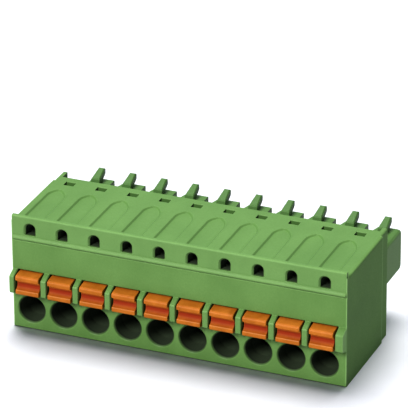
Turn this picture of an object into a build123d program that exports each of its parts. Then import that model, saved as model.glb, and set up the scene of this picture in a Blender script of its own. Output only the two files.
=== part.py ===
from build123d import *
import os

os.makedirs("parts", exist_ok=True)

# Ten-position pluggable circuit-board connector with push-in spring clamps.
# Built with the front (wire) face in the plane y = 0, then moved so that the
# middle of the whole object's footprint is the origin. Millimetres, +Z up.

# ---- driving dimensions ----
PITCH = 3.81
POSITIONS = 10
BODY_W = 39.0          # over the end faces
REAR_W = 38.6          # behind the step in the end faces
ROOF_Z = 12.95
ROOF_EDGE_R = 0.2      # rounded end edges of the roof
CORNER_R = 0.08        # upright front corners
LIP_Z = 13.6           # top of the thin wall along the front of the roof
LIP_T = 0.5
STEP_Y = 11.0          # where the end faces step in
BODY_Y = 12.2          # rear face of the body
WALL_T = 0.55          # end walls that run on behind the body
WALL_Y_RIGHT = 13.0
WALL_Y_LEFT = 13.35

RIB_T = 0.67           # ribs between the levers
RIB_Y = -1.1
RIB_TOP_Z = 7.12       # at the front face
RIB_TOP_FRONT_Z = 6.64
RIB_LOW_FRONT_Z = 4.66
RIB_LOW_Z = 4.22
RIB_BEVEL = 0.09

BEAD_TOP_Z = 11.26
BEAD_LOW_Z = 10.78
BEAD_Y = -0.2
GROOVE_D = 0.06
GROOVE_LOW_Z = 10.66

WIRE_Z = 2.42
WIRE_R = 1.52
WIRE_RIM = 0.2         # rounding of the hole's rim
WIRE_STRAIGHT = 2.0
FUNNEL_R = 1.05
FUNNEL_Y = 3.3

TEST_W = 1.12
TEST_LOW_Z = 11.4
TEST_TOP_Z = 12.69
TEST_BEVEL = 0.2
TEST_MOUTH = 0.75      # depth of the upright mouth, before it narrows
TEST_BORE_R = 0.42
TEST_BORE_Z = 11.67
TEST_BORE_Y = 1.35     # where the narrow bore starts

LEVER_HALF = 1.37
LEVER_LOW_Z = 4.58
LEVER_TOP_Z = 6.98
LEVER_FRONT_Y = -1.2
SLOT_HALF = PITCH / 2 - RIB_T / 2      # 1.57, lever channel
SLOT_LOW_Z = 4.4
SLOT_TOP_Z = 7.16
SHOULDER_Y = 2.4
STEM_HALF = 1.12

CELL_HALF = 1.28
CELL_Y0 = 3.6
CELL_Y1 = 10.95
CELL_LOW_Z = 0.9
CELL_TOP_Z = 9.15

POCKET_Y0 = 1.45       # arched label pockets in the roof
POCKET_X = 0.22        # pocket outline, from the middle of its cell
POCKET_D = 0.16
NOTCH_X = -0.1         # notch centre, from the middle of its chamber
NOTCH_HALF = 0.6
NOTCH_Y0 = 10.2
NOTCH_Y1 = 11.15
NOTCH_D = 0.58

PLUG_Y = 19.2          # mating chambers
PLUG_LEFT = 1.3        # chamber sides, from the middle of the chamber
PLUG_RIGHT = 1.52
PLUG_LOW_Z = 5.3
PLUG_TOP_Z = 9.92
PLUG_WEB_Y = 15.4      # the chambers are joined up to here
PLUG_END_R = 0.45      # rounded top edges of the outermost chambers
PLUG_IN_HALF = 0.9
PLUG_IN_LOW_Z = 5.75
PLUG_IN_TOP_Z = 9.25
PLUG_WALL = 0.65       # mating face wall
PIN_Z = 7.5
PIN_HOLE = 1.5
PIN_LEAD = 2.0

HOOK_Y = 17.15         # hooked polarising tooth on each chamber
HOOK_TOP_Z = 11.3
HOOK_LEFT = (0.58, 0.3)     # tooth sides at its front and rear
HOOK_RIGHT = (0.5, 0.42)

SPRING_T = 0.3
SPRING_HALF = 0.9
METAL_T = 0.45

Y_MID = (LEVER_FRONT_Y + PLUG_Y) / 2

CELL_SHIFT = -0.15     # the row of clamping cells lies beside the body's middle

XC = [(i - (POSITIONS - 1) / 2) * PITCH for i in range(POSITIONS)]   # chambers
XS = [x + CELL_SHIFT for x in XC]                                    # cells


def prism_x(points, x0, x1):
    """(y, z) outline swept from x0 to x1."""
    outline = Polyline(*points, close=True)
    face = make_face(Plane.YZ.offset(x0) * outline)
    return extrude(face, amount=x1 - x0, dir=(1, 0, 0))


def prism_y(points, y0, y1):
    """(x, z) outline swept from y0 to y1."""
    frame = Plane(origin=(0, y0, 0), x_dir=(1, 0, 0), z_dir=(0, -1, 0))
    face = make_face(frame * Polyline(*points, close=True))
    return extrude(face, amount=y1 - y0, dir=(0, 1, 0))


def prism_z(points, z0, z1):
    """(x, y) outline swept from z0 to z1."""
    face = make_face(Plane.XY.offset(z0) * Polyline(*points, close=True))
    return extrude(face, amount=z1 - z0, dir=(0, 0, 1))


def box(x0, x1, y0, y1, z0, z1):
    return Location(((x0 + x1) / 2, (y0 + y1) / 2, (z0 + z1) / 2)) * Box(
        x1 - x0, y1 - y0, z1 - z0
    )


def rod_y(x, z, r, y0, y1):
    frame = Plane(origin=(x, y0, z), x_dir=(1, 0, 0), z_dir=(0, 1, 0))
    return extrude(frame * Circle(r), amount=y1 - y0)


def turned_y(x, z, points):
    """(radius, y) outline turned about the line along Y through (x, z)."""
    outline = Polyline(*[(x + r, y) for r, y in points], close=True)
    face = make_face(Plane.XY.offset(z) * outline)
    return revolve(face, Axis((x, 0, z), (0, 1, 0)), 360)


def rounded_edge_y(x, z, side, r, y0, y1, out=0.08):
    """What a rounding takes off an upper edge along Y, on side -1 or +1."""
    return prism_y(
        [
            (x + side * out, z + out),
            (x - side * r, z + out),
            (x - side * r, z),
            (x - side * 0.5 * r, z - 0.134 * r),
            (x - side * 0.134 * r, z - 0.5 * r),
            (x, z - r),
            (x + side * out, z - r),
        ],
        y0,
        y1,
    )


def arch_face(x, half, low, top, y):
    """Upright outline with a round head, at depth y, looking along Y."""
    frame = Plane(origin=(x, y, 0), x_dir=(1, 0, 0), z_dir=(0, -1, 0))
    spring_line = top - half
    wire = Wire(
        [
            Line((-half, low), (half, low)),
            Line((half, low), (half, spring_line)),
            ThreePointArc((half, spring_line), (0, top), (-half, spring_line)),
            Line((-half, spring_line), (-half, low)),
        ]
    )
    return make_face(frame * wire)


def square_face(x, z, half, y):
    frame = Plane(origin=(x, y, z), x_dir=(1, 0, 0), z_dir=(0, 1, 0))
    return frame * Rectangle(2 * half, 2 * half)


def pocket_face(x, out, z):
    """Plan of a label pocket, its leaning arch at the rear; grown by out."""
    a = (x - 1.5 - out, POCKET_Y0 - out)
    b = (x + 0.86 + out, POCKET_Y0 - out)
    c = (x + 0.74 + out, 6.7)
    d = (x - 0.42 + 0.4 * out, 8.86 + out)
    e = (x - 0.78 - 0.4 * out, 8.86 + out)
    f = (x - 1.5 - out, 7.5)
    wire = Wire(
        [
            Line(a, b),
            Line(b, c),
            ThreePointArc(c, (x + 0.4 + 0.9 * out, 7.93 + 0.4 * out), d),
            Line(d, e),
            ThreePointArc(e, (x - 1.28 - 0.9 * out, 8.25 + 0.4 * out), f),
            Line(f, a),
        ]
    )
    return make_face(Plane.XY.offset(z) * wire)


# ---- housing: one moulding ----
front = box(-BODY_W / 2, BODY_W / 2, 0, STEP_Y, 0, ROOF_Z)
front = chamfer(
    front.edges().filter_by(Axis.X).filter_by(
        lambda e: abs(e.center().Y) < 0.01 and e.center().Z < 0.01
    ),
    0.12,
)
front = fillet(
    front.edges().filter_by(Axis.Z).filter_by(lambda e: abs(e.center().Y) < 0.01),
    CORNER_R,
)
rear = box(-REAR_W / 2, REAR_W / 2, STEP_Y - 0.5, BODY_Y, 0, ROOF_Z)
rear = chamfer(
    rear.edges().filter_by(Axis.X).filter_by(
        lambda e: abs(e.center().Y - BODY_Y) < 0.01
    ),
    0.15,
)
lip = box(-BODY_W / 2 + 0.08, BODY_W / 2 - 0.08, 0, LIP_T, ROOF_Z - 0.6, LIP_Z)
lip = fillet(
    lip.edges().filter_by(Axis.X).filter_by(
        lambda e: e.center().Z > LIP_Z - 0.01 and e.center().Y < 0.01
    ),
    0.2,
)
lip = fillet(
    lip.edges().filter_by(Axis.X).filter_by(
        lambda e: e.center().Z > LIP_Z - 0.01 and e.center().Y > LIP_T - 0.01
    ),
    0.12,
)
wall_right = box(
    REAR_W / 2 - WALL_T, REAR_W / 2, BODY_Y - 0.5, WALL_Y_RIGHT, 0, ROOF_Z
)
wall_left = box(
    -REAR_W / 2, -REAR_W / 2 + WALL_T, BODY_Y - 0.5, WALL_Y_LEFT, 0, ROOF_Z
)

adds = [rear, lip, wall_right, wall_left]

# ribs beside the levers
rise = (RIB_TOP_Z - RIB_TOP_FRONT_Z) / -RIB_Y
rib = [
    (0.3, RIB_TOP_Z + 0.3 * rise),
    (RIB_Y, RIB_TOP_FRONT_Z),
    (RIB_Y, RIB_LOW_FRONT_Z),
    (0, RIB_LOW_Z),
    (0.3, RIB_LOW_Z),
]
for i in range(POSITIONS + 1):
    x = (i - POSITIONS / 2) * PITCH + CELL_SHIFT
    x0, x1 = x - RIB_T / 2, x + RIB_T / 2
    if i == 0:
        x0 = -BODY_W / 2 + 0.04
    if i == POSITIONS:
        x1 = BODY_W / 2 - 0.04
    one = prism_x(rib, x0, x1)
    one = chamfer(
        one.edges().filter_by(lambda e: e.center().Y < -0.3), RIB_BEVEL
    )
    adds.append(one)

# rounded bead under the test holes
adds.append(
    prism_x(
        [
            (0.2, BEAD_TOP_Z + 0.1),
            (0, BEAD_TOP_Z),
            (BEAD_Y * 0.55, BEAD_TOP_Z - 0.11),
            (BEAD_Y * 0.9, BEAD_TOP_Z - 0.2),
            (BEAD_Y, BEAD_TOP_Z - 0.29),
            (BEAD_Y * 0.95, BEAD_LOW_Z + 0.1),
            (BEAD_Y * 0.7, BEAD_LOW_Z + 0.03),
            (BEAD_Y * 0.3, BEAD_LOW_Z),
            (0.2, BEAD_LOW_Z - 0.02),
        ],
        -BODY_W / 2 + 0.12,
        BODY_W / 2 - 0.12,
    )
)

# mating chambers: joined at the root, separate at the mating face
adds.append(
    prism_x(
        [
            (BODY_Y - 0.5, PLUG_LOW_Z),
            (PLUG_WEB_Y, PLUG_LOW_Z),
            (PLUG_WEB_Y, PLUG_TOP_Z),
            (BODY_Y - 0.5, PLUG_TOP_Z),
        ],
        XC[0] - PLUG_LEFT,
        XC[-1] + PLUG_RIGHT,
    )
)
chamber = [
    (PLUG_WEB_Y - 0.3, PLUG_LOW_Z),
    (PLUG_Y - 0.3, PLUG_LOW_Z),
    (PLUG_Y, PLUG_LOW_Z + 0.3),
    (PLUG_Y, PLUG_TOP_Z - 0.1),
    (PLUG_Y - 0.1, PLUG_TOP_Z),
    (PLUG_WEB_Y - 0.3, PLUG_TOP_Z),
]
# tooth: steep front, rising back that narrows towards the rear, hooked end
hook = [
    (HOOK_Y + 0.05, PLUG_TOP_Z - 0.3),
    (18.3, PLUG_TOP_Z - 0.3),
    (18.33, PLUG_TOP_Z + 0.2),
    (18.5, PLUG_TOP_Z + 0.36),
    (18.85, PLUG_TOP_Z + 0.5),
    (PLUG_Y - 0.05, PLUG_TOP_Z + 0.68),
    (PLUG_Y, PLUG_TOP_Z + 0.8),
    (PLUG_Y, HOOK_TOP_Z - 0.2),
    (PLUG_Y - 0.06, HOOK_TOP_Z - 0.07),
    (PLUG_Y - 0.2, HOOK_TOP_Z),
    (PLUG_Y - 0.38, HOOK_TOP_Z - 0.04),
    (HOOK_Y + 0.33, 10.7),
    (HOOK_Y + 0.2, 10.57),
    (HOOK_Y, PLUG_TOP_Z),
]


def tooth_section(y, left, right, top):
    """Upright outline with bevelled upper corners, at depth y."""
    frame = Plane(origin=(0, y, 0), x_dir=(1, 0, 0), z_dir=(0, -1, 0))
    points = [
        (-left, PLUG_TOP_Z - 0.5),
        (right, PLUG_TOP_Z - 0.5),
        (right, top - 0.12),
        (right - 0.15, top + 0.03),
        (-left + 0.15, top + 0.03),
        (-left, top - 0.12),
    ]
    return make_face(frame * Polyline(*points, close=True))


tooth = prism_x(hook, -1, 1) & loft(
    [
        tooth_section(HOOK_Y - 0.1, HOOK_LEFT[0], HOOK_RIGHT[0], 10.54),
        tooth_section(PLUG_Y + 0.1, HOOK_LEFT[1], HOOK_RIGHT[1], 11.42),
    ],
    ruled=True,
)
for x in XC:
    adds.append(prism_x(chamber, x - PLUG_LEFT, x + PLUG_RIGHT))
    adds.append(Location((x, 0, 0)) * tooth)

housing = front.fuse(*adds).clean()

cuts = []
# rounded end edges of the roof and of the chamber row
for s in (-1, 1):
    cuts.append(
        rounded_edge_y(s * BODY_W / 2, ROOF_Z, s, ROOF_EDGE_R, LIP_T, STEP_Y)
    )
    cuts.append(
        rounded_edge_y(
            s * REAR_W / 2, ROOF_Z, s, ROOF_EDGE_R, STEP_Y - 0.01, WALL_Y_LEFT + 0.5
        )
    )
for s, x in ((-1, XC[0] - PLUG_LEFT), (1, XC[-1] + PLUG_RIGHT)):
    cuts.append(
        rounded_edge_y(x, PLUG_TOP_Z, s, PLUG_END_R, BODY_Y + 0.12, PLUG_Y + 0.3)
    )
# groove under the bead
cuts.append(
    prism_x(
        [
            (-0.05, BEAD_LOW_Z + 0.004),
            (GROOVE_D, BEAD_LOW_Z - 0.04),
            (GROOVE_D, BEAD_LOW_Z - 0.14),
            (-0.05, GROOVE_LOW_Z - 0.12),
        ],
        -BODY_W,
        BODY_W,
    )
)
for x in XS:
    # wire entry and clamping cell
    cuts.append(
        turned_y(
            x,
            WIRE_Z,
            [
                (0, -0.02),
                (WIRE_R + WIRE_RIM + 0.03, -0.02),
                (WIRE_R + 0.62 * WIRE_RIM, 0.05),
                (WIRE_R + 0.18 * WIRE_RIM, 0.14),
                (WIRE_R, 0.24),
                (WIRE_R, WIRE_STRAIGHT),
                (FUNNEL_R, FUNNEL_Y),
                (FUNNEL_R, CELL_Y0 + 0.1),
                (0, CELL_Y0 + 0.1),
            ],
        )
    )
    cuts.append(
        box(x - CELL_HALF, x + CELL_HALF, CELL_Y0, CELL_Y1, CELL_LOW_Z, CELL_TOP_Z)
    )
    # lever channel
    cuts.append(
        box(x - SLOT_HALF, x + SLOT_HALF, -0.5, CELL_Y0, SLOT_LOW_Z, SLOT_TOP_Z)
    )
    # test hole and its bevel
    cuts.append(
        extrude(
            arch_face(x, TEST_W / 2, TEST_LOW_Z, TEST_TOP_Z, -0.3),
            amount=TEST_MOUTH + 0.3,
            dir=(0, 1, 0),
        )
    )
    cuts.append(
        loft(
            [
                arch_face(
                    x,
                    TEST_W / 2 - 0.03,
                    TEST_LOW_Z + 0.03,
                    TEST_TOP_Z - 0.03,
                    TEST_MOUTH - 0.1,
                ),
                arch_face(
                    x,
                    TEST_BORE_R - 0.03,
                    TEST_BORE_Z - TEST_BORE_R + 0.03,
                    TEST_BORE_Z + TEST_BORE_R - 0.03,
                    TEST_BORE_Y,
                ),
            ]
        )
    )
    cuts.append(rod_y(x, TEST_BORE_Z, TEST_BORE_R, TEST_BORE_Y - 0.08, 10.42))
    cuts.append(
        loft(
            [
                arch_face(
                    x,
                    TEST_W / 2 + TEST_BEVEL + 0.02,
                    TEST_LOW_Z + 0.03,
                    TEST_TOP_Z + TEST_BEVEL + 0.02,
                    -0.02,
                ),
                arch_face(
                    x,
                    TEST_W / 2 - 0.05,
                    TEST_LOW_Z + 0.03,
                    TEST_TOP_Z - 0.05,
                    TEST_BEVEL + 0.05,
                ),
            ]
        )
    )
    # slot for the contact's test tongue
    cuts.append(box(x - 0.62, x + 0.62, 10.38, CELL_Y1, CELL_TOP_Z - 0.1, 12.02))
    # arched label pocket and latch notch in the roof
    cuts.append(
        loft(
            [
                pocket_face(x + POCKET_X, 0.1, ROOF_Z + 0.02),
                pocket_face(x + POCKET_X, -0.13, ROOF_Z - POCKET_D),
            ]
        )
    )
    cuts.append(
        prism_x(
            [
                (NOTCH_Y0, ROOF_Z + 0.1),
                (NOTCH_Y0, ROOF_Z - NOTCH_D),
                (NOTCH_Y0 + 0.42, ROOF_Z - NOTCH_D),
                (NOTCH_Y1, ROOF_Z),
                (NOTCH_Y1, ROOF_Z + 0.1),
            ],
            x - CELL_SHIFT + NOTCH_X - NOTCH_HALF,
            x - CELL_SHIFT + NOTCH_X + NOTCH_HALF,
        )
    )
    # the chamber's upper left rear corner is cut back
    xc = x - CELL_SHIFT
    cuts.append(
        prism_z(
            [
                (xc - PLUG_LEFT - 0.2, 17.9),
                (xc - PLUG_LEFT + 0.01, 17.95),
                (xc - 0.92, PLUG_Y + 0.1),
                (xc - PLUG_LEFT - 0.2, PLUG_Y + 0.1),
            ],
            9.45,
            PLUG_TOP_Z + 0.1,
        )
    )
    # contact cell in the mating chamber, pin hole and its lead-in
    cuts.append(
        box(
            x - PLUG_IN_HALF,
            x + PLUG_IN_HALF,
            CELL_Y1 - 0.1,
            PLUG_Y - PLUG_WALL,
            PLUG_IN_LOW_Z,
            PLUG_IN_TOP_Z,
        )
    )
    cuts.append(
        box(
            x - PIN_HOLE / 2,
            x + PIN_HOLE / 2,
            PLUG_Y - 1,
            PLUG_Y + 0.1,
            PIN_Z - PIN_HOLE / 2,
            PIN_Z + PIN_HOLE / 2,
        )
    )
    cuts.append(
        loft(
            [
                square_face(x, PIN_Z, PIN_HOLE / 2 - 0.04, PLUG_Y - 0.4),
                square_face(x, PIN_Z, PIN_LEAD / 2 + 0.02, PLUG_Y + 0.02),
            ]
        )
    )

housing = housing.cut(*cuts)

# ---- release lever: one moulding, pressed in along +Y ----
# front end: a ridge above, a lip below and a round finger groove between them
lever_stem = [
    (SHOULDER_Y - 0.4, LEVER_LOW_Z + 0.08),
    (6.72, LEVER_LOW_Z + 0.08),
    (6.82, LEVER_LOW_Z + 0.22),
    (5.8, 6.76),
    (5.6, LEVER_TOP_Z - 0.06),
    (4.4, LEVER_TOP_Z - 0.06),
    (4.18, 7.5),
    (3.8, 7.5),
    (3.8, LEVER_TOP_Z - 0.06),
    (SHOULDER_Y - 0.4, LEVER_TOP_Z - 0.06),
]


def make_lever(x):
    top, low, tip = LEVER_TOP_Z, LEVER_LOW_Z, LEVER_FRONT_Y
    upper = [
        (SHOULDER_Y, top),
        (0, top),
        (tip + 0.22, top - 0.12),
        (tip + 0.06, top - 0.22),
        (tip, top - 0.34),
        (tip, 6.36),
        (tip + 0.06, 6.28),
    ]
    lower = [
        (tip + 0.06, 5.16),
        (tip, 5.08),
        (tip, low + 0.16),
        (tip + 0.06, low + 0.05),
        (tip + 0.18, low),
        (SHOULDER_Y, low),
    ]
    edges = [Line(a, b) for a, b in zip(upper, upper[1:])]
    edges.append(ThreePointArc(upper[-1], (tip + 0.56, 5.72), lower[0]))
    edges += [Line(a, b) for a, b in zip(lower, lower[1:])]
    edges.append(Line(lower[-1], upper[0]))
    plane = Plane.YZ.offset(x - LEVER_HALF)
    head = extrude(
        make_face(plane * Wire(edges)), amount=2 * LEVER_HALF, dir=(1, 0, 0)
    )
    head = chamfer(
        head.edges().filter_by(
            lambda e: abs(abs(e.center().X - x) - LEVER_HALF) < 0.01
            and e.center().Y < -0.3
        ),
        0.05,
    )
    stem = prism_x(lever_stem, x - STEM_HALF, x + STEM_HALF)
    return head + stem


# ---- clamp spring: bent strip, fixed leg under the ceiling, loop, clamping leg ----
LOOP_Y, LOOP_Z, LOOP_R = 6.72, 7.98, 0.92
LEG_DIR = (0.4315, -0.9021)


def make_spring(x):
    h = SPRING_T / 2
    outer, inner = LOOP_R + h, LOOP_R - h
    # the loop ends where its tangent points along the clamping leg
    ny, nz = -LEG_DIR[1], LEG_DIR[0]

    def on_loop(r):
        return (LOOP_Y - r * ny, LOOP_Z - r * nz)

    end_z = 1.82
    o0, i0 = on_loop(outer), on_loop(inner)
    run = (o0[1] - end_z) / -LEG_DIR[1]
    o1 = (o0[0] + run * LEG_DIR[0], o0[1] + run * LEG_DIR[1])
    run_i = (i0[1] - end_z - 0.12) / -LEG_DIR[1]
    i1 = (i0[0] + run_i * LEG_DIR[0], i0[1] + run_i * LEG_DIR[1])
    rear = 10.3
    plane = Plane.YZ.offset(x - SPRING_HALF)
    wire = Wire(
        [
            Line((rear, LOOP_Z + outer), (LOOP_Y, LOOP_Z + outer)),
            ThreePointArc(
                (LOOP_Y, LOOP_Z + outer), (LOOP_Y - outer * 0.83, LOOP_Z + outer * 0.5578), o0
            ),
            Line(o0, o1),
            Line(o1, i1),
            Line(i1, i0),
            ThreePointArc(
                i0, (LOOP_Y - inner * 0.83, LOOP_Z + inner * 0.5578), (LOOP_Y, LOOP_Z + inner)
            ),
            Line((LOOP_Y, LOOP_Z + inner), (rear, LOOP_Z + inner)),
            Line((rear, LOOP_Z + inner), (rear, LOOP_Z + outer)),
        ]
    )
    return extrude(make_face(plane * wire), amount=2 * SPRING_HALF, dir=(1, 0, 0))


# ---- contact: current bar, riser with test tongue, two-arm pin socket ----
def make_contact(x):
    bar = prism_x(
        [
            (4.3, 0.95),
            (10.9, 0.95),
            (10.9, 1.4),
            (4.5, 1.4),
            (4.3, 1.25),
        ],
        x - 0.95,
        x + 0.95,
    )
    riser = box(x - 0.95, x + 0.95, 10.45, 10.9, 0.95, 9.05)
    tongue = box(x - 0.5, x + 0.5, 10.45, 10.9, 9.0, 11.95)
    base = box(x - 0.8, x + 0.8, 10.85, 14.0, 6.1, 6.4)
    parts = [riser, tongue, base]
    for s in (-1, 1):
        a, b = sorted((s * 0.5, s * 0.8))
        parts.append(box(x + a, x + b, 10.85, 14.05, 6.1, 8.75))
        arm = [
            (x + s * 0.8, 14.0),
            (x + s * 0.58, 17.0),
            (x + s * 0.58, 17.3),
            (x + s * 0.8, 18.3),
            (x + s * 0.5, 18.3),
            (x + s * 0.3, 17.3),
            (x + s * 0.3, 17.0),
            (x + s * 0.5, 14.0),
        ]
        face = make_face(Plane.XY.offset(6.6) * Polyline(*arm, close=True))
        parts.append(extrude(face, amount=1.8, dir=(0, 0, 1)))
    return bar.fuse(*parts).clean()


move = Location((0, -Y_MID, 0))


def save(shape, name):
    solids = shape.solids()
    out = solids[0] if len(solids) == 1 else Compound(children=list(solids))
    export_step(move * out, os.path.join("parts", name + ".step"))


save(housing, "housing")
for i, x in enumerate(XS, 1):
    save(make_lever(x), f"release_lever_{i:02d}")
    save(make_spring(x), f"clamp_spring_{i:02d}")
    save(make_contact(x), f"contact_{i:02d}")
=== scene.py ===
import math

import bpy
from mathutils import Matrix, Vector

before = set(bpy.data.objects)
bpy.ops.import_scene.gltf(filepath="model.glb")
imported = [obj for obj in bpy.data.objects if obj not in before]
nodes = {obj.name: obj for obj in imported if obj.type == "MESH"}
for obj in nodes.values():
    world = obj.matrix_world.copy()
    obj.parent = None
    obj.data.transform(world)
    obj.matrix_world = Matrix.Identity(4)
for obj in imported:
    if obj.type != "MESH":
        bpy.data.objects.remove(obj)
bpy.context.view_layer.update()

MM = 0.001
PITCH = 3.81 * MM
CELL_SHIFT = -0.15 * MM  # the clamping cells lie beside the body's middle
Y_MID = 9.0 * MM


# ---------------------------------------------------------------- node helpers
class Tree:
    """A material's node tree, with short calls that add and join nodes."""

    def __init__(self, name):
        self.mat = bpy.data.materials.new(name)
        self.mat.use_nodes = True
        self.tree = self.mat.node_tree
        self.tree.nodes.clear()
        self.out = self.tree.nodes.new("ShaderNodeOutputMaterial")

    def new(self, kind, **props):
        node = self.tree.nodes.new(kind)
        for key, value in props.items():
            setattr(node, key, value)
        return node

    def join(self, a, b):
        self.tree.links.new(a, b)

    def put(self, socket, value):
        if hasattr(value, "is_output") or isinstance(value, bpy.types.NodeSocket):
            self.join(value, socket)
        else:
            socket.default_value = value

    def where(self):
        if not hasattr(self, "_where"):
            self._where = self.new("ShaderNodeTexCoord").outputs["Object"]
        return self._where

    def axes(self):
        if not hasattr(self, "_axes"):
            sep = self.new("ShaderNodeSeparateXYZ")
            self.join(self.where(), sep.inputs[0])
            self._axes = (sep.outputs[0], sep.outputs[1], sep.outputs[2])
        return self._axes

    def stretched(self, scale):
        m = self.new("ShaderNodeMapping")
        m.inputs["Scale"].default_value = scale
        self.join(self.where(), m.inputs["Vector"])
        return m.outputs[0]

    def noise(self, scale, detail=4.0, rough=0.55, vector=None, distortion=0.0):
        n = self.new("ShaderNodeTexNoise")
        n.inputs["Scale"].default_value = scale
        n.inputs["Detail"].default_value = detail
        n.inputs["Roughness"].default_value = rough
        n.inputs["Distortion"].default_value = distortion
        self.join(vector if vector is not None else self.where(), n.inputs["Vector"])
        return n.outputs[0]

    def math(self, op, a, b=0.0, c=0.0, clamp=False):
        n = self.new("ShaderNodeMath", operation=op, use_clamp=clamp)
        for socket, value in zip(n.inputs, (a, b, c)):
            self.put(socket, value)
        return n.outputs[0]

    def span(self, value, lo, hi, out_lo=0.0, out_hi=1.0, smooth=False):
        n = self.new("ShaderNodeMapRange", clamp=True)
        if smooth:
            n.interpolation_type = "SMOOTHSTEP"
        self.put(n.inputs["Value"], value)
        n.inputs["From Min"].default_value = lo
        n.inputs["From Max"].default_value = hi
        n.inputs["To Min"].default_value = out_lo
        n.inputs["To Max"].default_value = out_hi
        return n.outputs["Result"]

    def mix(self, share, a, b, blend="MIX"):
        n = self.new("ShaderNodeMix", data_type="RGBA", blend_type=blend)
        self.put(n.inputs[0], share)
        for socket, value in ((n.inputs[6], a), (n.inputs[7], b)):
            if isinstance(value, tuple):
                value = (*value, 1.0)[:4]
            self.put(socket, value)
        return n.outputs[2]

    def near(self, value, half, soft):
        """1 where |value| < half, falling to 0 over soft."""
        return self.span(self.math("ABSOLUTE", value), half + soft, half)

    def inside(self, value, lo, hi, soft=0.02 * MM):
        """1 where lo < value < hi, falling to 0 over soft on both sides."""
        return self.math(
            "MULTIPLY",
            self.span(value, lo - soft, lo),
            self.span(value, hi + soft, hi),
        )

    def both(self, *masks):
        result = masks[0]
        for m in masks[1:]:
            result = self.math("MULTIPLY", result, m)
        return result

    def either(self, *masks):
        result = masks[0]
        for m in masks[1:]:
            result = self.math("MAXIMUM", result, m)
        return result

    def soft_edges(self, radius):
        """(rounded normal, mask that is 1 on the flats' edges)."""
        bevel = self.new("ShaderNodeBevel", samples=6)
        bevel.inputs["Radius"].default_value = radius
        geo = self.new("ShaderNodeNewGeometry")
        dot = self.new("ShaderNodeVectorMath", operation="DOT_PRODUCT")
        self.join(bevel.outputs[0], dot.inputs[0])
        self.join(geo.outputs["Normal"], dot.inputs[1])
        mask = self.span(dot.outputs["Value"], 0.995, 0.86, 0.0, 1.0)
        return bevel.outputs[0], mask

    def bump(self, height, distance, strength, normal=None):
        n = self.new("ShaderNodeBump")
        n.inputs["Strength"].default_value = strength
        n.inputs["Distance"].default_value = distance
        self.join(height, n.inputs["Height"])
        if normal is not None:
            self.join(normal, n.inputs["Normal"])
        return n.outputs[0]

    def shade(self, color, rough, normal, **flat):
        b = self.new("ShaderNodeBsdfPrincipled")
        self.put(b.inputs["Base Color"], color)
        self.put(b.inputs["Roughness"], rough)
        self.join(normal, b.inputs["Normal"])
        for key, value in flat.items():
            b.inputs[key.replace("_", " ")].default_value = value
        self.join(b.outputs[0], self.out.inputs["Surface"])
        return self.mat


def srgb(r, g, b):
    def lin(c):
        c /= 255.0
        return c / 12.92 if c <= 0.04045 else ((c + 0.055) / 1.055) ** 2.4

    return (lin(r), lin(g), lin(b))


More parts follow.
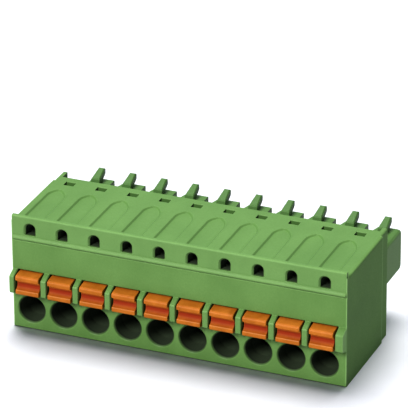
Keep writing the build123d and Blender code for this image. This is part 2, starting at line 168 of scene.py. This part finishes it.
# ------------------------------------------------------------------- materials
def green_plastic():
    t = Tree("green_polyamide")
    x, y, z = t.axes()
    y = t.math("ADD", y, Y_MID)  # 0 on the front face
    # across one position, 0 in the middle of its chamber or of its cell
    chamber = t.math("SUBTRACT", t.math("FLOORED_MODULO", x, PITCH), PITCH / 2)
    cell = t.math(
        "SUBTRACT",
        t.math("FLOORED_MODULO", t.math("SUBTRACT", x, CELL_SHIFT), PITCH),
        PITCH / 2,
    )
    row = t.near(x, 18.85 * MM, 0.01 * MM)  # not the outsides of the end walls
    normal, edge = t.soft_edges(0.06 * MM)
    broad = t.noise(170.0, 3.0, 0.5, distortion=0.4)
    flow = t.noise(90.0, 4.0, 0.6, vector=t.stretched((3.0, 1.0, 0.7)))
    fine = t.noise(5200.0, 5.0, 0.62)
    grain = t.noise(15000.0, 3.0, 0.6)
    color = t.mix(t.span(broad, 0.32, 0.68), srgb(89, 121, 67), srgb(99, 131, 76))
    color = t.mix(t.span(flow, 0.42, 0.72, 0.0, 0.4), color, srgb(107, 139, 83))
    color = t.mix(t.span(fine, 0.35, 0.75, 0.0, 0.35), color, srgb(78, 109, 58))
    # deep inside the openings hardly any light comes back out
    radius = t.math(
        "SQRT",
        t.math(
            "ADD",
            t.math("POWER", cell, 2.0),
            t.math("POWER", t.math("SUBTRACT", z, 2.42 * MM), 2.0),
        ),
    )
    # painted highlights: slightly lighter edges, but for the rims of the wire holes
    painted_edge_highlight = t.both(edge, t.either(t.span(radius, 1.78 * MM, 1.9 * MM), t.span(y, 1.0 * MM, 1.1 * MM)))
    color = t.mix(t.math("MULTIPLY", painted_edge_highlight, 0.75), color, srgb(132, 168, 105))
    # painted highlights on the front outer vertical edges and along the step line of the end faces
    aside = t.math("ABSOLUTE", x)
    corner = t.both(
        t.span(aside, 19.36 * MM, 19.43 * MM),
        t.span(y, 0.14 * MM, 0.08 * MM),
        t.span(z, 0.3 * MM, 0.5 * MM),
    )
    step = t.both(
        t.span(aside, 19.1 * MM, 19.2 * MM),
        t.near(t.math("SUBTRACT", y, 10.97 * MM), 0.05 * MM, 0.06 * MM),
    )
    painted_edge_highlight = t.math("MAXIMUM", t.math("MULTIPLY", corner, 0.5), t.math("MULTIPLY", step, 0.4))
    color = t.mix(painted_edge_highlight, color, srgb(148, 184, 122))
    wire_hole = t.both(
        row,
        t.span(radius, 1.68 * MM, 1.58 * MM),
        t.span(y, 0.04 * MM, 0.3 * MM),
        t.span(y, 3.7 * MM, 3.6 * MM),
    )
    inner_cell = t.both(
        row,
        t.near(cell, 1.6 * MM, 0.02 * MM),
        t.inside(z, 0.86 * MM, 9.2 * MM),
        t.inside(y, 3.55 * MM, 11.1 * MM),
    )
    channel = t.both(
        row,
        t.near(cell, 1.575 * MM, 0.01 * MM),
        t.inside(z, 4.395 * MM, 7.165 * MM, 0.01 * MM),
        t.span(y, 0.04 * MM, 0.5 * MM),
        t.span(y, 3.7 * MM, 3.6 * MM),
    )
    test_hole = t.both(
        row,
        t.near(cell, 0.58 * MM, 0.02 * MM),
        t.inside(z, 11.1 * MM, 12.72 * MM),
        t.span(y, 0.05 * MM, 0.4 * MM),
        t.span(y, 10.1 * MM, 10.0 * MM),
    )
    notch = t.both(
        row,
        t.near(t.math("ADD", chamber, 0.1 * MM), 0.605 * MM, 0.01 * MM),
        t.inside(y, 10.19 * MM, 11.16 * MM),
        t.span(z, 12.93 * MM, 12.86 * MM),
        t.span(z, 12.2 * MM, 12.3 * MM),
    )
    pin_hole = t.both(
        row,
        t.near(cell, 1.02 * MM, 0.01 * MM),
        t.inside(z, 5.7 * MM, 9.3 * MM),
        t.inside(y, 10.8 * MM, 18.2 * MM, 0.5 * MM),
    )
    # painted shade: a faint darker line follows the pockets' sides
    pocket = t.math("SUBTRACT", cell, 0.22 * MM)
    side = t.both(
        row,
        t.either(
            t.both(
                t.span(pocket, -1.62 * MM, -1.36 * MM),
                t.span(pocket, -0.5 * MM, -1.2 * MM),
                t.math("ADD", 0.55, t.span(pocket, -1.0 * MM, -1.3 * MM, 0.0, 0.45)),
            ),
            t.both(
                t.span(pocket, 0.35 * MM, 0.8 * MM),
                t.span(pocket, 1.0 * MM, 0.84 * MM),
            ),
        ),
        t.inside(y, 1.4 * MM, 7.6 * MM, 0.6 * MM),
        t.span(z, 12.7 * MM, 12.75 * MM),
    )
    color = t.mix(t.math("MULTIPLY", side, 0.2), color, srgb(68, 102, 45))
    # painted shade on the pockets' sloped walls, its strength set by which way each wall faces
    geo = t.new("ShaderNodeNewGeometry")
    parts = t.new("ShaderNodeSeparateXYZ")
    t.join(geo.outputs["Normal"], parts.inputs[0])
    pocket_wall_shade = t.both(
        row,
        t.span(parts.outputs[2], 0.98, 0.85),
        t.inside(z, 12.785 * MM, 12.935 * MM),
        t.inside(y, 0.8 * MM, 9.4 * MM, 0.3 * MM),
    )
    depth = t.span(parts.outputs[0], 0.2, 0.7, 0.34, 0.06)
    color = t.mix(t.math("MULTIPLY", pocket_wall_shade, depth), color, srgb(62, 94, 42))
    # painted highlight: the upper band is a little paler; painted shade: the hooks and the hole rims are deeper
    band = t.both(t.span(z, 11.2 * MM, 11.5 * MM), t.span(y, 0.15 * MM, 0.05 * MM))
    color = t.mix(t.math("MULTIPLY", band, 0.2), color, srgb(124, 156, 104))
    # painted highlights: the ribs' noses and the bead are paler
    noses = t.span(y, -0.3 * MM, -0.8 * MM)
    color = t.mix(t.math("MULTIPLY", noses, 0.08), color, srgb(130, 160, 112))
    bead = t.both(t.inside(z, 10.92 * MM, 11.2 * MM, 0.06 * MM), t.span(y, 0.0, -0.05 * MM))
    color = t.mix(t.math("MULTIPLY", bead, 0.2), color, srgb(134, 166, 112))
    # painted shade: the roof is darkened against the light that falls on it from above
    roof = t.both(t.span(z, 12.6 * MM, 12.75 * MM), t.span(y, 0.45 * MM, 0.6 * MM))
    color = t.mix(t.math("MULTIPLY", roof, 0.25), color, srgb(78, 108, 58))
    # painted shade on the hooks
    hooks = t.both(t.span(y, 12.9 * MM, 13.6 * MM), t.span(z, 9.6 * MM, 10.1 * MM))
    color = t.mix(t.math("MULTIPLY", hooks, 0.62), color, srgb(52, 84, 40))
    # painted shade at the mouths of the wire holes
    rim = t.both(
        row,
        t.span(radius, 1.8 * MM, 1.74 * MM),
        t.span(y, 0.01 * MM, 0.06 * MM),
        t.span(y, 0.5 * MM, 0.4 * MM),
    )
    color = t.mix(t.math("MULTIPLY", rim, 0.55), color, srgb(44, 62, 34))
    # painted shade: dark inside the wire holes, cells, channels, test holes and pin holes
    dark = t.either(wire_hole, inner_cell, channel, test_hole, pin_hole)
    color = t.mix(t.math("MULTIPLY", dark, 0.88), color, srgb(41, 44, 40))
    # the inmost walls are only dusky, for hardly any light reaches them
    color = t.mix(t.math("MULTIPLY", inner_cell, 0.6), color, srgb(88, 98, 84))
    # painted shade in the notches of the roof
    color = t.mix(t.math("MULTIPLY", notch, 0.75), color, srgb(34, 62, 18))
    dark = t.either(dark, notch)

    rough = t.span(
        t.math("ADD", t.math("MULTIPLY", broad, 0.55), t.math("MULTIPLY", fine, 0.45)),
        0.3,
        0.7,
        0.42,
        0.58,
    )
    rough = t.math("SUBTRACT", rough, t.math("MULTIPLY", edge, 0.1))
    rough = t.math("MAXIMUM", rough, t.math("MULTIPLY", dark, 0.9))
    # the end faces are duller than the rest
    rough = t.math("ADD", rough, t.span(aside, 19.05 * MM, 19.2 * MM, 0.0, 0.22))
    height = t.math("ADD", t.math("MULTIPLY", fine, 0.6), t.math("MULTIPLY", grain, 0.4))
    normal = t.bump(height, 0.012 * MM, 0.55, normal)
    return t.shade(color, rough, normal, Specular_IOR_Level=0.16)


def orange_plastic():
    t = Tree("orange_polyamide")
    x, y, z = t.axes()
    y = t.math("ADD", y, Y_MID)
    normal, edge = t.soft_edges(0.06 * MM)
    broad = t.noise(560.0, 4.0, 0.6, distortion=0.6)
    fine = t.noise(6500.0, 4.0, 0.6)
    grain = t.noise(17000.0, 2.0, 0.6)
    color = t.mix(t.span(broad, 0.34, 0.66), srgb(151, 90, 24), srgb(171, 107, 38))
    color = t.mix(t.span(fine, 0.4, 0.75, 0.0, 0.35), color, srgb(150, 82, 18))
    # painted shade: the finger groove is a deeper red
    groove = t.both(
        t.inside(z, 5.5 * MM, 5.85 * MM, 0.5 * MM),
        t.span(y, -1.14 * MM, -1.0 * MM),
        t.span(y, 0.1 * MM, 0.0),
    )
    color = t.mix(t.math("MULTIPLY", groove, 0.85), color, srgb(126, 30, 9))
    # painted highlights: lighter edges
    color = t.mix(t.math("MULTIPLY", edge, 0.6), color, srgb(200, 130, 60))
    # painted light: the underside of the ridge is paler, lifting the shade beneath it
    geo = t.new("ShaderNodeNewGeometry")
    parts = t.new("ShaderNodeSeparateXYZ")
    t.join(geo.outputs["Normal"], parts.inputs[0])
    under = t.both(t.span(parts.outputs[2], -0.15, -0.6), t.span(z, 5.0 * MM, 5.3 * MM))
    color = t.mix(t.math("MULTIPLY", under, 0.65), color, srgb(222, 138, 50))
    # painted shade: behind the front face the channel is dark
    dark = t.span(y, 0.05 * MM, 0.9 * MM)
    color = t.mix(t.math("MULTIPLY", dark, 0.7), color, srgb(52, 20, 6))
    rough = t.span(t.math("ADD", t.math("MULTIPLY", broad, 0.6), t.math("MULTIPLY", fine, 0.4)), 0.3, 0.7, 0.30, 0.46)
    height = t.math("ADD", t.math("MULTIPLY", fine, 0.6), t.math("MULTIPLY", grain, 0.4))
    normal = t.bump(height, 0.010 * MM, 0.5, normal)
    rough = t.math("ADD", rough, t.math("MULTIPLY", groove, 0.35))
    return t.shade(color, rough, normal, Specular_IOR_Level=0.14)


def spring_steel():
    t = Tree("rolled_spring_steel")
    normal, edge = t.soft_edges(0.05 * MM)
    streak = t.noise(900.0, 5.0, 0.65, vector=t.stretched((14.0, 1.0, 1.0)))
    fine = t.noise(7000.0, 3.0, 0.6)
    color = t.mix(t.span(streak, 0.3, 0.7), srgb(176, 176, 172), srgb(204, 203, 198))
    color = t.mix(t.math("MULTIPLY", edge, 0.4), color, srgb(226, 226, 222))
    rough = t.span(streak, 0.3, 0.7, 0.24, 0.40)
    height = t.math("ADD", t.math("MULTIPLY", streak, 0.7), t.math("MULTIPLY", fine, 0.3))
    normal = t.bump(height, 0.006 * MM, 0.5, normal)
    return t.shade(color, rough, normal, Metallic=1.0)


def tinned_copper():
    t = Tree("tinned_copper_alloy")
    normal, edge = t.soft_edges(0.05 * MM)
    cloud = t.noise(1300.0, 4.0, 0.6, distortion=0.8)
    fine = t.noise(9000.0, 3.0, 0.6)
    color = t.mix(t.span(cloud, 0.3, 0.7), srgb(190, 187, 178), srgb(212, 210, 202))
    # the copper alloy shows a little at the sheared edges
    color = t.mix(t.math("MULTIPLY", edge, 0.45), color, srgb(196, 160, 118))
    rough = t.span(cloud, 0.3, 0.7, 0.30, 0.46)
    height = t.math("ADD", t.math("MULTIPLY", cloud, 0.5), t.math("MULTIPLY", fine, 0.5))
    normal = t.bump(height, 0.006 * MM, 0.4, normal)
    return t.shade(color, rough, normal, Metallic=1.0)


LOOKS = {
    "housing": green_plastic(),
    "release_lever": orange_plastic(),
    "clamp_spring": spring_steel(),
    "contact": tinned_copper(),
}
for name, obj in nodes.items():
    look = next(m for key, m in LOOKS.items() if name.startswith(key))
    obj.data.materials.clear()
    obj.data.materials.append(look)


# ------------------------------------------------------------- floor and light
def make_floor():
    me = bpy.data.meshes.new("floor")
    r = 1.6
    n = 8
    verts = [
        (-r + 2 * r * i / n, -r + 2 * r * j / n, 0.0)
        for j in range(n + 1)
        for i in range(n + 1)
    ]
    faces = [
        (
            j * (n + 1) + i,
            j * (n + 1) + i + 1,
            (j + 1) * (n + 1) + i + 1,
            (j + 1) * (n + 1) + i,
        )
        for j in range(n)
        for i in range(n)
    ]
    me.from_pydata(verts, [], faces)
    floor = bpy.data.objects.new("floor", me)
    bpy.context.scene.collection.objects.link(floor)
    t = Tree("white_paper")
    grain = t.noise(260.0, 3.0, 0.5)
    color = t.mix(t.span(grain, 0.3, 0.7), (0.845, 0.84, 0.875), (0.865, 0.86, 0.895))
    rough = t.span(grain, 0.3, 0.7, 0.9, 0.97)
    normal = t.bump(grain, 0.00002, 0.1)
    me.materials.append(t.shade(color, rough, normal, Specular_IOR_Level=0.05))


make_floor()

world = bpy.data.worlds.new("studio")
bpy.context.scene.world = world
world.use_nodes = True
world.node_tree.nodes.clear()
background = world.node_tree.nodes.new("ShaderNodeBackground")
background.inputs["Color"].default_value = (0.84, 0.91, 1.0, 1.0)
# the backdrop behind the object is brighter than the rest of the room
coords = world.node_tree.nodes.new("ShaderNodeTexCoord")
toward = world.node_tree.nodes.new("ShaderNodeVectorMath")
toward.operation = "DOT_PRODUCT"
toward.inputs[1].default_value = (-0.55, 0.8, 0.24)
world.node_tree.links.new(coords.outputs["Generated"], toward.inputs[0])
backdrop = world.node_tree.nodes.new("ShaderNodeMapRange")
backdrop.interpolation_type = "SMOOTHSTEP"
backdrop.inputs["From Min"].default_value = -0.3
backdrop.inputs["From Max"].default_value = 0.95
backdrop.inputs["To Min"].default_value = 0.25
backdrop.inputs["To Max"].default_value = 0.85
world.node_tree.links.new(toward.outputs["Value"], backdrop.inputs["Value"])
world.node_tree.links.new(backdrop.outputs["Result"], background.inputs["Strength"])
world_out = world.node_tree.nodes.new("ShaderNodeOutputWorld")
world.node_tree.links.new(background.outputs[0], world_out.inputs[0])


def sun(name, direction, strength, angle, color=(1.0, 1.0, 1.0)):
    """A soft far light that shines along -direction."""
    data = bpy.data.lights.new(name, "SUN")
    data.energy = strength
    data.angle = math.radians(angle)
    data.color = color
    obj = bpy.data.objects.new(name, data)
    obj.rotation_mode = "QUATERNION"
    obj.rotation_quaternion = Vector(direction).to_track_quat("Z", "Y")
    obj.location = Vector(direction).normalized() * 0.5
    bpy.context.scene.collection.objects.link(obj)
    return obj


sun("key", (-0.14, 0.25, 1.0), 3.3, 34.0, (1.0, 0.99, 0.98))
front = sun("front", (-0.3, -1.0, 0.85), 4.9, 24.0, (1.0, 0.99, 0.97))
# the front light is kept off the floor, so the shadow below the front stays dark
unlit = bpy.data.collections.new("not_lit_from_the_front")
unlit.objects.link(bpy.data.objects["floor"])
unlit.collection_objects[0].light_linking.link_state = "EXCLUDE"
front.light_linking.receiver_collection = unlit

# ---------------------------------------------------------------------- camera
a, e, roll = math.radians(22.5), math.radians(25.666), math.radians(0.404)
back = Vector((math.sin(a) * math.cos(e), -math.cos(a) * math.cos(e), math.sin(e)))
right = Vector((math.cos(a), math.sin(a), 0.0))
up = back.cross(right)
centre = back * 0.43445 + right * 0.00297 + up * 0.016476 - Vector((0, Y_MID, 0))
image_right = right * math.cos(roll) - up * math.sin(roll)
image_up = up * math.cos(roll) + right * math.sin(roll)

cam_data = bpy.data.cameras.new("camera")
cam_data.sensor_width = 36.0
cam_data.lens = 4006.6 / 408.0 * 36.0
cam_data.clip_start = 0.02
cam_data.clip_end = 20.0
cam = bpy.data.objects.new("camera", cam_data)
bpy.context.scene.collection.objects.link(cam)
turn = Matrix((image_right, image_up, back)).transposed()
cam.rotation_mode = "QUATERNION"
cam.rotation_quaternion = turn.to_quaternion()
cam.location = centre
bpy.context.scene.camera = cam

view = bpy.context.scene.view_settings
view.view_transform = "Standard"
view.look = "None"
view.exposure = 0.0
view.gamma = 0.8
